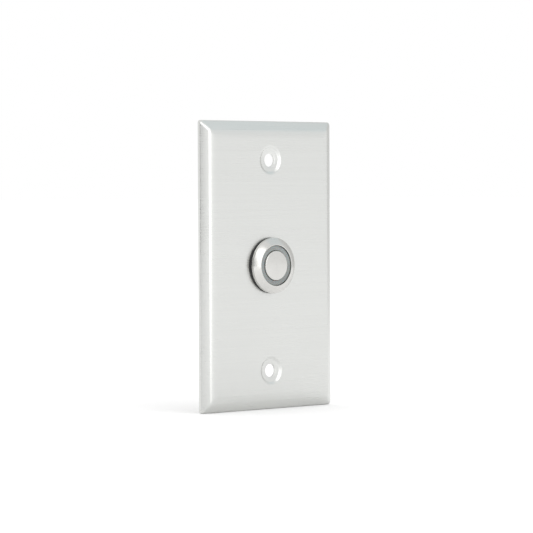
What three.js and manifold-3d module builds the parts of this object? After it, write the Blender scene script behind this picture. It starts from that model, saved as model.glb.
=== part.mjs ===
// A wall-mounted pedestrian push button: a pressed steel plate that carries a lit, sprung push switch.
// Millimetres, +Z up. The wall's surface is the plane Y = 0 and the button faces -Y. Every turned piece
// has the Y axis as its own axis, so an outline is a list of [radius, Y] points, and Y grows into the wall.

import * as THREE from "three";
import { mergeVertices } from "three/addons/utils/BufferGeometryUtils.js";
import Module from "manifold-3d";

const wasm = await Module();
wasm.setup();

// Wall plate
const PLATE_WIDTH = 69.85;
const PLATE_HEIGHT = 114.3;
const PLATE_DEPTH = 3.4;
const SHEET = 0.9;
const RIM_DEPTH = 0.85;
const BEVEL_RUN = 3.8;
const FOLD_RADIUS = 3.0;
const CORNER_RADIUS = 1.2;
const SCREW_PITCH = 83.3;
const SCREW_HOLE_RADIUS = 2.6;
const DIMPLE_RADIUS = 5.2;
const DIMPLE_DEPTH = 1.0;
const DIMPLE_TOE = 0.5;

// Fits between pieces
const RUNNING_GAP = 0.15;
const LOOSE_GAP = 0.2;
const SNUG_GAP = 0.05;
const SLOT_GAP = 0.1;
const CONTACT_GAP = 0.02;
const PAD_CLEARANCE = 0.4;

// Button face
const CAP_RADIUS = 5.85;
const CAP_THICKNESS = 1.0;
const CAP_CHAMFER = 0.15;
const CAP_PEG_RADIUS = 2.0;
const RING_WIDTH = 1.85;
const RING_RECESS = 0.5;
const WEB_THICKNESS = 1.4;
const FLANGE_THICKNESS = 0.95;
const BUTTON_TRAVEL = 2.0;

// Head and barrel
const LIP_WIDTH = 0.35;
const LIP_DEPTH = 1.2;
const SHOULDER = 0.3;
const BARREL_WALL = 1.1;
const HEAD_OVERHANG = 1.6;
const HEAD_SIDE = 1.1;
const HEAD_BEVEL = 1.4;
const GASKET_THICKNESS = 0.9;
const WASHER_THICKNESS = 1.0;
const WASHER_TEETH = 18;
const TOOTH_DEPTH = 1.0;
const NUT_WALL = 1.6;
const NUT_THICKNESS = 3.0;

// Seal, plunger and return spring
const SEAL_SECTION = 1.2;
const RETAINER_THICKNESS = 0.6;
const GUIDE_WALL = 1.4;
const HUB_THICKNESS = 1.4;
const STEM_RADIUS = 2.4;
const STEM_PEG_RADIUS = 1.2;
const SPRING_RADIUS = 4.4;
const SPRING_WIRE = 0.5;
const SPRING_LENGTH = 6.5;
const SPRING_TURNS = 5;
const SPRING_SEAT_DEPTH = 1.0;

// Light
const BOARD_THICKNESS = 0.8;
const LED_COUNT = 4;
const LED_SIZE = { across: 1.2, radial: 1.0, height: 0.7 };
const LED_CLEARANCE = 0.5;
const RESISTOR_SIZE = { across: 1.6, radial: 0.8, height: 0.5 };

// Contacts
const BRIDGE_TRAVEL = 1.2;
const BRIDGE_THICKNESS = 0.4;
const BRIDGE_HALF_WIDTH = 1.25;
const RIVET_RADIUS = 1.0;
const RIVET_SHANK_RADIUS = 0.45;
const RIVET_HEIGHT = 0.4;
const REAR_SPRING_LENGTH = 1.8;
const CONTACT_SPRING_RADIUS = 1.2;
const CONTACT_SPRING_WIRE = 0.3;
const CONTACT_SPRING_TURNS = 3;
const CARRIER_WALL = 1.0;
const CARRIER_HALF_DEPTH = 2.2;
const CARRIER_SIDE = 0.9;
const CARRIER_PLAY = 0.4;

// Switch body and terminals
const GUIDE_LENGTH = 2.0;
const BLOCK_WALL = 0.65;
const BLOCK_FLANGE_THICKNESS = 2.0;
const BLOCK_FLANGE_EDGE = 0.1;
const BASE_FLOOR = 2.0;
const BASE_LENGTH = 5.0;
const BASE_WALL = 1.1;
const POTTING_DEPTH = 2.6;
const BLADE_THICKNESS = 0.5;
const BLADE_ROW_GAP = 1.0;
const BLADE_CLEARANCE = 0.9;
const BLADE_HOLE_RADIUS = 0.45;
const PIN_WIDTH = 1.6;
const TAIL_LENGTH = 7.0;

// Facets
const HEAD_SIDES = 64;
const BODY_SIDES = 48;
const SMALL_SIDES = 16;
const PAST = 1; // how far a cutter runs past the face that it cuts

// Radii, from the button's face outwards
const ringInner = CAP_RADIUS + RUNNING_GAP;
const ringRadius = ringInner + RING_WIDTH;
const openingRadius = ringRadius + RUNNING_GAP;
const lipRadius = openingRadius + LIP_WIDTH;
const boreRadius = openingRadius + SHOULDER;
const barrelRadius = boreRadius + BARREL_WALL;
const headRadius = barrelRadius + HEAD_OVERHANG;
const nutHalfWidth = barrelRadius + NUT_WALL;
const flangeRadius = boreRadius - RUNNING_GAP;
const sealRadius = boreRadius - SNUG_GAP;
const guideRadius = sealRadius - SEAL_SECTION - SNUG_GAP;
const guideInner = guideRadius - GUIDE_WALL;
const lightRadius = (guideRadius + guideInner) / 2;
const springSeatRadius = SPRING_RADIUS + LOOSE_GAP;
const blockRadius = boreRadius - RUNNING_GAP;
const blockFlangeRadius = barrelRadius - BLOCK_FLANGE_EDGE;
const recessRadius = blockFlangeRadius - BASE_WALL;

// Depths, from the plate's face forwards
const faceY = -PLATE_DEPTH;
const plateInnerY = faceY + SHEET;
const headBackY = faceY - GASKET_THICKNESS;
const headSideY = headBackY - HEAD_SIDE;
const headFrontY = headSideY - HEAD_BEVEL;
const shoulderY = headFrontY + LIP_DEPTH;

// Depths of the button, from its face backwards
const ringFrontY = headFrontY + RING_RECESS;
const webFrontY = headFrontY + CAP_THICKNESS;
const webBackY = webFrontY + WEB_THICKNESS;
const flangeFrontY = shoulderY + SNUG_GAP;
const flangeBackY = flangeFrontY + FLANGE_THICKNESS;
const sealY = flangeBackY + SNUG_GAP + SEAL_SECTION / 2;
const retainerFrontY = sealY + SEAL_SECTION / 2 + SNUG_GAP;
const hubBackY = webBackY + HUB_THICKNESS;

// Depths of the switch body, from the return spring backwards
const springSeatY = hubBackY + SPRING_LENGTH;
const blockFrontY = springSeatY - SPRING_SEAT_DEPTH;
const boardFrontY = blockFrontY - BOARD_THICKNESS;
const guideEndY = boardFrontY - LED_SIZE.height - LED_CLEARANCE - BUTTON_TRAVEL;
const chamberFrontY = springSeatY + GUIDE_LENGTH;
const carrierFrontY = chamberFrontY + LOOSE_GAP;
const windowFrontY = carrierFrontY + CARRIER_WALL;
const frontSpringLength = REAR_SPRING_LENGTH + BUTTON_TRAVEL - BRIDGE_TRAVEL;
const bridgeFrontY = windowFrontY + frontSpringLength;
const bridgeBackY = bridgeFrontY + BRIDGE_THICKNESS;
const windowBackY = bridgeBackY + REAR_SPRING_LENGTH;
const carrierBackY = windowBackY + CARRIER_WALL;
const closedPadY = bridgeFrontY - 2 * RIVET_HEIGHT - CONTACT_GAP;
const openPadY = bridgeBackY + 2 * RIVET_HEIGHT + BRIDGE_TRAVEL + CONTACT_GAP;
const blockBackY = Math.max(carrierBackY + BUTTON_TRAVEL, openPadY + BLADE_THICKNESS) + CARRIER_PLAY;
const barrelEndY = blockBackY - BLOCK_FLANGE_THICKNESS;
const recessY = blockBackY + BASE_FLOOR;
const baseBackY = blockBackY + BASE_LENGTH;
const tailEndY = baseBackY + TAIL_LENGTH;

// The contact chamber, a box in the round switch body, and what stands in it
const windowHalfWidth = BRIDGE_HALF_WIDTH + RUNNING_GAP;
const carrierHalfWidth = windowHalfWidth + CARRIER_SIDE;
const chamberHalfWidth = carrierHalfWidth + CARRIER_PLAY;
const chamberHalfLength = Math.sqrt((blockRadius - BLOCK_WALL) ** 2 - chamberHalfWidth ** 2);
const bladeX = chamberHalfLength - SLOT_GAP - BLADE_THICKNESS / 2;
const bladeLowZ = BLADE_ROW_GAP / 2;
const bladeHighZ = chamberHalfWidth - SLOT_GAP;
const bridgeHalfLength = bladeX - BLADE_THICKNESS / 2 - BLADE_CLEARANCE;
const contactX = bridgeHalfLength - RIVET_RADIUS - SLOT_GAP;

const X = new THREE.Vector3(1, 0, 0);
const Y = new THREE.Vector3(0, 1, 0);
const Z = new THREE.Vector3(0, 0, 1);

// A drawing's across, up and out directions, in the part's frame.
const FACING_FRONT = new THREE.Matrix4().makeBasis(X, Z, Y.clone().negate());
const FACING_RIGHT = new THREE.Matrix4().makeBasis(Y, Z, X);
const PLATE_SECTION_UP = new THREE.Matrix4().makeBasis(Z, Y.clone().negate(), X);
const PLATE_SECTION_ACROSS = new THREE.Matrix4().makeBasis(X, Y.clone().negate(), Z.clone().negate());

const steel = { color: 0xc9cac8, roughness: 0.35, metalness: 1 };
const zincSteel = { color: 0xb4b6b8, roughness: 0.4, metalness: 1 };
const nickel = { color: 0xc4c0b6, roughness: 0.3, metalness: 1 };
const silver = { color: 0xd2d1cc, roughness: 0.25, metalness: 1 };
const brass = { color: 0xb99a55, roughness: 0.35, metalness: 1 };
const springSteel = { color: 0xa6a8aa, roughness: 0.3, metalness: 1 };
const blackRubber = { color: 0x1c1c1c, roughness: 0.8, metalness: 0 };
const blackPlastic = { color: 0x242425, roughness: 0.55, metalness: 0 };
const whitePlastic = { color: 0xe6e5df, roughness: 0.45, metalness: 0 };
const clearPlastic = { color: 0xa9aaa8, roughness: 0.4, metalness: 0 };
const resin = { color: 0x1d2a33, roughness: 0.2, metalness: 0 };
const boardGreen = { color: 0x2c5a3c, roughness: 0.5, metalness: 0 };
const ledWhite = { color: 0xf1edd6, roughness: 0.3, metalness: 0 };
const resistorBlack = { color: 0x2a2a2e, roughness: 0.4, metalness: 0 };

// Turns an outline about the Y axis. It starts and ends on the axis, or else it is closed.
function turned(outline, sides) {
  const points = outline.map(([radius, y]) => new THREE.Vector2(radius, y));
  if (THREE.ShapeUtils.isClockWise(points)) points.reverse();
  if (points[0].x > 0) points.push(points[0].clone());
  return new THREE.LatheGeometry(points, sides);
}

// A box between two opposite corners.
function box(low, high) {
  const size = high.map((value, axis) => value - low[axis]);
  const middle = high.map((value, axis) => (value + low[axis]) / 2);
  return new THREE.BoxGeometry(...size).translate(...middle);
}

// A flat piece whose drawing is seen from the front, between two depths.
function plateBetween(shape, frontY, backY, curveSegments = SMALL_SIDES / 2) {
  const options = { depth: backY - frontY, bevelEnabled: false, curveSegments };
  return new THREE.ExtrudeGeometry(shape, options).applyMatrix4(FACING_FRONT).translate(0, backY, 0);
}

// A closed geometry as a solid that can be joined and cut.
function solid(geometry) {
  geometry.deleteAttribute("normal");
  geometry.deleteAttribute("uv");
  const merged = mergeVertices(geometry);
  const vertProperties = merged.attributes.position.array;
  const triVerts = new Uint32Array(merged.index.array);
  return new wasm.Manifold(new wasm.Mesh({ numProp: 3, vertProperties, triVerts }));
}

// A joined and cut solid as a geometry with flat faces.
function geometryOf(result) {
  const { vertProperties, triVerts } = result.getMesh();
  const indexed = new THREE.BufferGeometry();
  indexed.setAttribute("position", new THREE.BufferAttribute(vertProperties, 3));
  indexed.setIndex(new THREE.BufferAttribute(triVerts, 1));
  const geometry = indexed.toNonIndexed();
  geometry.computeVertexNormals();
  return geometry;
}

function named(name, geometry, finish) {
  const mesh = new THREE.Mesh(geometry, new THREE.MeshStandardMaterial(finish));
  mesh.name = name;
  return mesh;
}

// The plate's section on one side of its sheet: the outside at inset 0, the inside at inset SHEET.
function traySection(halfSpan, inset, startAt) {
  const bevelAngle = Math.atan2(PLATE_DEPTH - RIM_DEPTH, BEVEL_RUN);
  const half = halfSpan - inset;
  const rim = RIM_DEPTH - inset * Math.tan(Math.PI / 4 - bevelAngle / 2);
  const front = PLATE_DEPTH - inset;
  const foldRadius = FOLD_RADIUS - inset;
  const foldX = halfSpan - BEVEL_RUN - inset * Math.tan(bevelAngle / 2);
  const centreX = foldX - foldRadius * Math.tan(bevelAngle / 2);
  const upright = Math.PI / 2;
  const section = new THREE.Shape();
  section.moveTo(-half, startAt);
  section.lineTo(half, startAt);
  section.lineTo(half, rim);
  section.absarc(centreX, front - foldRadius, foldRadius, upright - bevelAngle, upright);
  section.absarc(-centreX, front - foldRadius, foldRadius, upright, upright + bevelAngle);
  section.lineTo(-half, rim);
  return section;
}

// A tray with mitred corners: what a section run up the plate and one run across it have in common.
function tray(inset, startAt) {
  const up = traySection(PLATE_HEIGHT / 2, inset, startAt);
  const across = traySection(PLATE_WIDTH / 2, inset, startAt);
  const runs = [
    [up, PLATE_WIDTH - 2 * inset, PLATE_SECTION_UP],
    [across, PLATE_HEIGHT - 2 * inset, PLATE_SECTION_ACROSS],
  ].map(([section, length, facing]) => {
    const options = { depth: length, bevelEnabled: false, curveSegments: 2 };
    const run = new THREE.ExtrudeGeometry(section, options).translate(0, 0, -length / 2);
    return solid(run.applyMatrix4(facing));
  });
  return runs[0].intersect(runs[1]);
}

function roundedRectangle(halfWidth, halfHeight, radius) {
  const shape = new THREE.Shape();
  const right = Math.PI / 2;
  shape.absarc(halfWidth - radius, halfHeight - radius, radius, 0, right);
  shape.absarc(radius - halfWidth, halfHeight - radius, radius, right, 2 * right);
  shape.absarc(radius - halfWidth, radius - halfHeight, radius, 2 * right, 3 * right);
  shape.absarc(halfWidth - radius, radius - halfHeight, radius, 3 * right, 4 * right);
  return shape;
}

// A dimple pressed into the plate round a screw hole: the metal that it adds, and the space that it opens.
function dimple() {
  const bottomY = faceY + DIMPLE_DEPTH;
  const cup = solid(turned([
    [0, faceY],
    [DIMPLE_RADIUS, faceY],
    [DIMPLE_RADIUS, plateInnerY],
    [SCREW_HOLE_RADIUS + DIMPLE_TOE, bottomY + SHEET],
    [0, bottomY + SHEET],
  ], BODY_SIDES / 2));
  const space = solid(turned([
    [0, faceY - PAST],
    [DIMPLE_RADIUS, faceY - PAST],
    [DIMPLE_RADIUS, faceY],
    [SCREW_HOLE_RADIUS, bottomY],
    [SCREW_HOLE_RADIUS, bottomY + SHEET + PAST],
    [0, bottomY + SHEET + PAST],
  ], BODY_SIDES / 2));
  return { cup, space };
}

function wallPlate() {
  const outline = roundedRectangle(PLATE_WIDTH / 2, PLATE_HEIGHT / 2, CORNER_RADIUS);
  const corners = solid(plateBetween(outline, faceY - PAST, PAST, 2));
  const { cup, space } = dimple();
  let plate = tray(0, 0).intersect(corners).subtract(tray(SHEET, -PAST));
  for (const z of [-SCREW_PITCH / 2, SCREW_PITCH / 2]) {
    plate = plate.add(cup.translate([0, 0, z])).subtract(space.translate([0, 0, z]));
  }
  const hole = new THREE.CylinderGeometry(barrelRadius + LOOSE_GAP, barrelRadius + LOOSE_GAP, 2 * PLATE_DEPTH,
    BODY_SIDES).translate(0, faceY, 0);
  return named("wall_plate", geometryOf(plate.subtract(solid(hole))), steel);
}

function bezelHousing() {
  return named("bezel_housing", turned([
    [openingRadius, headFrontY],
    [lipRadius, headFrontY],
    [headRadius, headSideY],
    [headRadius, headBackY],
    [barrelRadius, headBackY],
    [barrelRadius, barrelEndY],
    [boreRadius, barrelEndY],
    [boreRadius, shoulderY],
    [openingRadius, shoulderY],
  ], HEAD_SIDES), steel);
}

function ring(name, inner, outer, frontY, backY, sides, finish) {
  const outline = [[inner, frontY], [outer, frontY], [outer, backY], [inner, backY]];
  return named(name, turned(outline, sides), finish);
}

function lockWasher() {
  const outer = nutHalfWidth + TOOTH_DEPTH;
  const shape = new THREE.Shape();
  for (let corner = 0; corner < 4 * WASHER_TEETH; corner += 1) {
    const angle = (corner * Math.PI) / (2 * WASHER_TEETH);
    const radius = corner % 4 < 2 ? outer : outer - TOOTH_DEPTH;
    shape[corner ? "lineTo" : "moveTo"](radius * Math.cos(angle), radius * Math.sin(angle));
  }
  shape.holes.push(new THREE.Path().absarc(0, 0, barrelRadius + LOOSE_GAP, 0, 2 * Math.PI, true));
  const backY = plateInnerY + WASHER_THICKNESS;
  return named("lock_washer", plateBetween(shape, plateInnerY, backY, BODY_SIDES / 2), zincSteel);
}

// A hexagon with its corners chamfered on both faces.
function hexNut() {
  const frontY = plateInnerY + WASHER_THICKNESS;
  const backY = frontY + NUT_THICKNESS;
  const cornerRadius = nutHalfWidth / Math.cos(Math.PI / 6);
  const chamfer = (cornerRadius - nutHalfWidth) * Math.tan(Math.PI / 6);
  const hexagon = new THREE.CylinderGeometry(cornerRadius, cornerRadius, NUT_THICKNESS, 6);
  const blank = turned([
    [barrelRadius + SNUG_GAP, frontY],
    [nutHalfWidth, frontY],
    [cornerRadius, frontY + chamfer],
    [cornerRadius, backY - chamfer],
    [nutHalfWidth, backY],
    [barrelRadius + SNUG_GAP, backY],
  ], BODY_SIDES);
  const nut = solid(hexagon.translate(0, (frontY + backY) / 2, 0)).intersect(solid(blank));
  return named("hex_nut", geometryOf(nut), nickel);
}

function buttonCap() {
  return named("button_cap", turned([
    [0, headFrontY],
    [CAP_RADIUS - CAP_CHAMFER, headFrontY],
    [CAP_RADIUS, headFrontY + CAP_CHAMFER],
    [CAP_RADIUS, webFrontY],
    [CAP_PEG_RADIUS, webFrontY],
    [CAP_PEG_RADIUS, webBackY - SNUG_GAP],
    [0, webBackY - SNUG_GAP],
  ], HEAD_SIDES), steel);
}

// The translucent ring, its flange behind the head's shoulder, and the tube that guides the light to it.
function lightRing() {
  return named("light_ring", turned([
    [CAP_PEG_RADIUS + SNUG_GAP, webFrontY],
    [ringInner, webFrontY],
    [ringInner, ringFrontY],
    [ringRadius, ringFrontY],
    [ringRadius, flangeFrontY],
    [flangeRadius, flangeFrontY],
    [flangeRadius, flangeBackY],
    [guideRadius, flangeBackY],
    [guideRadius, guideEndY],
    [guideInner, guideEndY],
    [guideInner, webBackY],
    [CAP_PEG_RADIUS + SNUG_GAP, webBackY],
  ], HEAD_SIDES), clearPlastic);
}

function plunger() {
  const pegEndY = windowFrontY - SLOT_GAP;
  return named("plunger", turned([
    [0, webBackY],
    [guideInner - SNUG_GAP, webBackY],
    [guideInner - SNUG_GAP, hubBackY],
    [STEM_RADIUS, hubBackY],
    [STEM_RADIUS, carrierFrontY],
    [STEM_PEG_RADIUS, carrierFrontY],
    [STEM_PEG_RADIUS, pegEndY],
    [0, pegEndY],
  ], BODY_SIDES), whitePlastic);
}

function sealRing() {
  const section = SEAL_SECTION / 2;
  const circle = Array.from({ length: SMALL_SIDES / 2 }, (_, corner) => {
    const angle = (corner * 4 * Math.PI) / SMALL_SIDES;
    return [sealRadius - section + section * Math.cos(angle), sealY + section * Math.sin(angle)];
  });
  return named("seal_ring", turned(circle, BODY_SIDES), blackRubber);
}

class Helix extends THREE.Curve {
  constructor(radius, startY, endY, turns) {
    super();
    Object.assign(this, { radius, startY, endY, turns });
  }
  getPoint(t, target = new THREE.Vector3()) {
    const angle = 2 * Math.PI * this.turns * t;
    const y = this.startY + (this.endY - this.startY) * t;
    return target.set(this.radius * Math.cos(angle), y, this.radius * Math.sin(angle));
  }
}

// A compression spring whose wire stays just inside the two faces that it presses on.
function spring(name, outerRadius, wire, turns, frontY, backY) {
  const margin = wire / 2 + SNUG_GAP;
  const path = new Helix(outerRadius - wire / 2, frontY + margin, backY - margin, turns);
  const section = new THREE.Shape().absarc(0, 0, wire / 2, 0, 2 * Math.PI);
  const options = { extrudePath: path, steps: turns * SMALL_SIDES, curveSegments: 3 };
  return named(name, new THREE.ExtrudeGeometry(section, options), springSteel);
}

// The windowed block on the stem's end, in which the contact bridge floats between its two springs.
function bridgeCarrier() {
  const body = solid(box(
    [-CARRIER_HALF_DEPTH, carrierFrontY, -carrierHalfWidth],
    [CARRIER_HALF_DEPTH, carrierBackY, carrierHalfWidth],
  ));
  const window = solid(box(
    [-CARRIER_HALF_DEPTH - PAST, windowFrontY, -windowHalfWidth],
    [CARRIER_HALF_DEPTH + PAST, windowBackY, windowHalfWidth],
  ));
  const pegHole = new THREE.CylinderGeometry(STEM_PEG_RADIUS + SLOT_GAP, STEM_PEG_RADIUS + SLOT_GAP,
    2 * CARRIER_WALL, SMALL_SIDES).translate(0, carrierFrontY, 0);
  return named("bridge_carrier", geometryOf(body.subtract(window).subtract(solid(pegHole))), whitePlastic);
}

function contactBridge() {
  const shape = roundedRectangle(bridgeHalfLength, BRIDGE_HALF_WIDTH, BRIDGE_HALF_WIDTH / 2);
  for (const x of [-contactX, contactX]) {
    shape.holes.push(new THREE.Path().absarc(x, 0, RIVET_SHANK_RADIUS + SNUG_GAP, 0, 2 * Math.PI, true));
  }
  return named("contact_bridge", plateBetween(shape, bridgeFrontY, bridgeBackY, SMALL_SIDES / 4), brass);
}

// A rivet through the bridge, with a contact face on both sides.
function bridgeContact(side, x) {
  const rivet = named(`bridge_contact_${side}`, turned([
    [0, bridgeFrontY - RIVET_HEIGHT],
    [RIVET_RADIUS, bridgeFrontY - RIVET_HEIGHT],
    [RIVET_RADIUS, bridgeFrontY],
    [RIVET_SHANK_RADIUS, bridgeFrontY],
    [RIVET_SHANK_RADIUS, bridgeBackY],
    [RIVET_RADIUS, bridgeBackY],
    [RIVET_RADIUS, bridgeBackY + RIVET_HEIGHT],
    [0, bridgeBackY + RIVET_HEIGHT],
  ], SMALL_SIDES), silver);
  rivet.position.x = x;
  return rivet;
}

function fixedContact(name, x, frontY) {
  const backY = frontY + RIVET_HEIGHT;
  const tip = named(name, turned([[0, frontY], [RIVET_RADIUS, frontY], [RIVET_RADIUS, backY], [0, backY]],
    SMALL_SIDES), silver);
  tip.position.x = x;
  return tip;
}

// A blade along Y with a tapered tail and a hole for the wire, between two heights.
function blade(frontY, lowZ, highZ) {
  const taper = (highZ - lowZ) / 4;
  const holeY = tailEndY - taper - 3 * BLADE_HOLE_RADIUS;
  const shape = new THREE.Shape();
  shape.moveTo(frontY, lowZ);
  shape.lineTo(tailEndY - taper, lowZ);
  shape.lineTo(tailEndY, lowZ + taper);
  shape.lineTo(tailEndY, highZ - taper);
  shape.lineTo(tailEndY - taper, highZ);
  shape.lineTo(frontY, highZ);
  const hole = new THREE.Path();
  hole.absarc(holeY, (lowZ + highZ) / 2, BLADE_HOLE_RADIUS, 0, 2 * Math.PI, true);
  shape.holes.push(hole);
  const options = { depth: BLADE_THICKNESS, bevelEnabled: false, curveSegments: SMALL_SIDES / 4 };
  const upright = new THREE.ExtrudeGeometry(shape, options).applyMatrix4(FACING_RIGHT);
  return upright.translate(-BLADE_THICKNESS / 2, 0, 0);
}

// A blade bent inwards to a pad that carries a fixed contact.
// The upper row is closed at rest, the lower open.
function contactTerminal(name, sideways, upwards, padY) {
  const inner = contactX - RIVET_RADIUS;
  const outer = bladeX - BLADE_THICKNESS / 2 - PAD_CLEARANCE;
  const between = (a, b, signed) => (signed > 0 ? [a, b] : [-b, -a]);
  const [padLowX, padHighX] = between(inner, outer, sideways);
  const [tabLowX, tabHighX] = between(outer - SLOT_GAP, bladeX, sideways);
  const [tabLowZ, tabHighZ] = between(bladeLowZ, RIVET_RADIUS + SLOT_GAP, upwards);
  const [bladeBottom, bladeTop] = between(bladeLowZ, bladeHighZ, upwards);
  const padHalfWidth = RIVET_RADIUS + SLOT_GAP;
  const backY = padY + BLADE_THICKNESS;
  const pad = solid(box([padLowX, padY, -padHalfWidth], [padHighX, backY, padHalfWidth]));
  const tab = solid(box([tabLowX, padY, tabLowZ], [tabHighX, backY, tabHighZ]));
  const tail = solid(blade(padY, bladeBottom, bladeTop).translate(sideways * bladeX, 0, 0));
  return named(name, geometryOf(pad.add(tab).add(tail)), brass);
}

// A straight pin from the back of the board to the same depth as the blades.
function ledTerminal(name, z) {
  const low = [-PIN_WIDTH / 2, blockFrontY, z - BLADE_THICKNESS / 2];
  const high = [PIN_WIDTH / 2, tailEndY, z + BLADE_THICKNESS / 2];
  return named(name, box(low, high), brass);
}

// The passages for the two light pins, through everything between two depths.
function pinPassages(frontY, backY) {
  const halfWidth = PIN_WIDTH / 2 + SLOT_GAP;
  const halfHeight = BLADE_THICKNESS / 2 + SLOT_GAP;
  return [-lightRadius, lightRadius].map((z) => solid(box(
    [-halfWidth, frontY, z - halfHeight],
    [halfWidth, backY, z + halfHeight],
  )));
}

// The slots for the four contact blades, through everything between two depths.
function bladeSlots(frontY, backY) {
  const halfThickness = BLADE_THICKNESS / 2 + SLOT_GAP;
  const slots = [];
  for (const x of [-bladeX, bladeX]) {
    for (const [low, high] of [[-bladeHighZ, -bladeLowZ], [bladeLowZ, bladeHighZ]]) {
      slots.push(solid(box(
        [x - halfThickness, frontY, low - SLOT_GAP],
        [x + halfThickness, backY, high + SLOT_GAP],
      )));
    }
  }
  return slots;
}

function cutAll(body, cutters) {
  return cutters.reduce((left, cutter) => left.subtract(cutter), body);
}

function contactBlock() {
  const stemBore = STEM_RADIUS + SLOT_GAP;
  const body = solid(turned([
    [stemBore, springSeatY],
    [springSeatRadius, springSeatY],
    [springSeatRadius, blockFrontY],
    [blockRadius, blockFrontY],
    [blockRadius, barrelEndY],
    [blockFlangeRadius, barrelEndY],
    [blockFlangeRadius, blockBackY],
    [stemBore, blockBackY],
  ], BODY_SIDES));
  const chamber = solid(box(
    [-chamberHalfLength, chamberFrontY, -chamberHalfWidth],
    [chamberHalfLength, blockBackY + PAST, chamberHalfWidth],
  ));
  const passages = pinPassages(blockFrontY - PAST, blockBackY + PAST);
  return named("contact_block", geometryOf(cutAll(body, [chamber, ...passages])), blackPlastic);
}

function terminalBase() {
  const body = solid(turned([
    [0, blockBackY],
    [blockFlangeRadius, blockBackY],
    [blockFlangeRadius, baseBackY],
    [recessRadius, baseBackY],
    [recessRadius, recessY],
    [0, recessY],
  ], BODY_SIDES));
  const cutters = [
    ...bladeSlots(blockBackY - PAST, recessY + PAST),
    ...pinPassages(blockBackY - PAST, recessY + PAST),
  ];
  return named("terminal_base", geometryOf(cutAll(body, cutters)), blackPlastic);
}

// The resin poured round the terminals, in the recess behind the base.
function pottingSeal() {
  const radius = recessRadius - SNUG_GAP;
  const backY = recessY + POTTING_DEPTH;
  const disc = solid(turned([[0, recessY], [radius, recessY], [radius, backY], [0, backY]], BODY_SIDES));
  const cutters = [...bladeSlots(recessY - PAST, backY + PAST), ...pinPassages(recessY - PAST, backY + PAST)];
  return named("potting_seal", geometryOf(cutAll(disc, cutters)), resin);
}

// A small component on the front of the board, at an angle round the light guide's end.
function boardComponent(name, size, angle, finish) {
  const geometry = box([-size.across / 2, boardFrontY - size.height, -size.radial / 2],
    [size.across / 2, boardFrontY, size.radial / 2]);
  const component = named(name, geometry, finish);
  component.rotation.y = Math.PI / 2 - angle;
  component.position.set(lightRadius * Math.cos(angle), 0, lightRadius * Math.sin(angle));
  return component;
}

function lightUnit() {
  const unit = new THREE.Group();
  unit.add(ring("led_board", springSeatRadius + LOOSE_GAP, boreRadius - LOOSE_GAP, boardFrontY, blockFrontY,
    BODY_SIDES, boardGreen));
  for (let index = 0; index < LED_COUNT; index += 1) {
    const angle = ((index + 0.5) * 2 * Math.PI) / LED_COUNT;
    unit.add(boardComponent(`led_${index + 1}`, LED_SIZE, angle, ledWhite));
  }
  unit.add(boardComponent("led_resistor", RESISTOR_SIZE, 0, resistorBlack));
  unit.add(ledTerminal("led_terminal_upper", lightRadius), ledTerminal("led_terminal_lower", -lightRadius));
  return unit;
}

function contactUnit() {
  const unit = new THREE.Group();
  for (const [side, sideways] of [["left", -1], ["right", 1]]) {
    unit.add(contactTerminal(`nc_terminal_${side}`, sideways, 1, closedPadY - BLADE_THICKNESS));
    unit.add(contactTerminal(`no_terminal_${side}`, sideways, -1, openPadY));
    unit.add(fixedContact(`nc_contact_${side}`, sideways * contactX, closedPadY));
    unit.add(fixedContact(`no_contact_${side}`, sideways * contactX, openPadY - RIVET_HEIGHT));
  }
  return unit;
}

function fixedBody() {
  const body = new THREE.Group();
  body.add(wallPlate(), bezelHousing());
  body.add(ring("head_gasket", barrelRadius + SNUG_GAP, headRadius, headBackY, faceY,
    BODY_SIDES, blackRubber));
  body.add(lockWasher(), hexNut());
  body.add(contactBlock(), terminalBase(), pottingSeal());
  body.add(contactUnit(), lightUnit());
  return body;
}

function buttonBody() {
  const body = new THREE.Group();
  const retainerBackY = retainerFrontY + RETAINER_THICKNESS;
  body.add(buttonCap(), lightRing(), plunger(), sealRing());
  body.add(ring("seal_retainer", guideRadius + SNUG_GAP, flangeRadius, retainerFrontY, retainerBackY,
    BODY_SIDES, whitePlastic));
  body.add(spring("return_spring", SPRING_RADIUS, SPRING_WIRE, SPRING_TURNS, hubBackY, springSeatY));
  body.add(bridgeCarrier());
  return body;
}

function bridgeBody() {
  const body = new THREE.Group();
  const size = [CONTACT_SPRING_RADIUS, CONTACT_SPRING_WIRE, CONTACT_SPRING_TURNS];
  body.add(contactBridge(), bridgeContact("left", -contactX), bridgeContact("right", contactX));
  body.add(spring("contact_spring_front", ...size, windowFrontY, bridgeFrontY));
  body.add(spring("contact_spring_rear", ...size, bridgeBackY, windowBackY));
  return body;
}

const pushButton = new THREE.Group();
pushButton.add(fixedBody(), buttonBody(), bridgeBody());

export default pushButton;
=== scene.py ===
"""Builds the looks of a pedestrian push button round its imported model: the plate, the head, the switch
behind it, their finishes and a plain studio. Lengths are in metres. The button faces -Y and +Z is up."""

from math import atan2, cos, pi, radians, sin, tan

import bmesh
import bpy
from bpy.props import FloatProperty, FloatVectorProperty, IntProperty, PointerProperty
from bpy.types import Operator, Panel, PropertyGroup
from mathutils import Matrix, Vector


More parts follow.
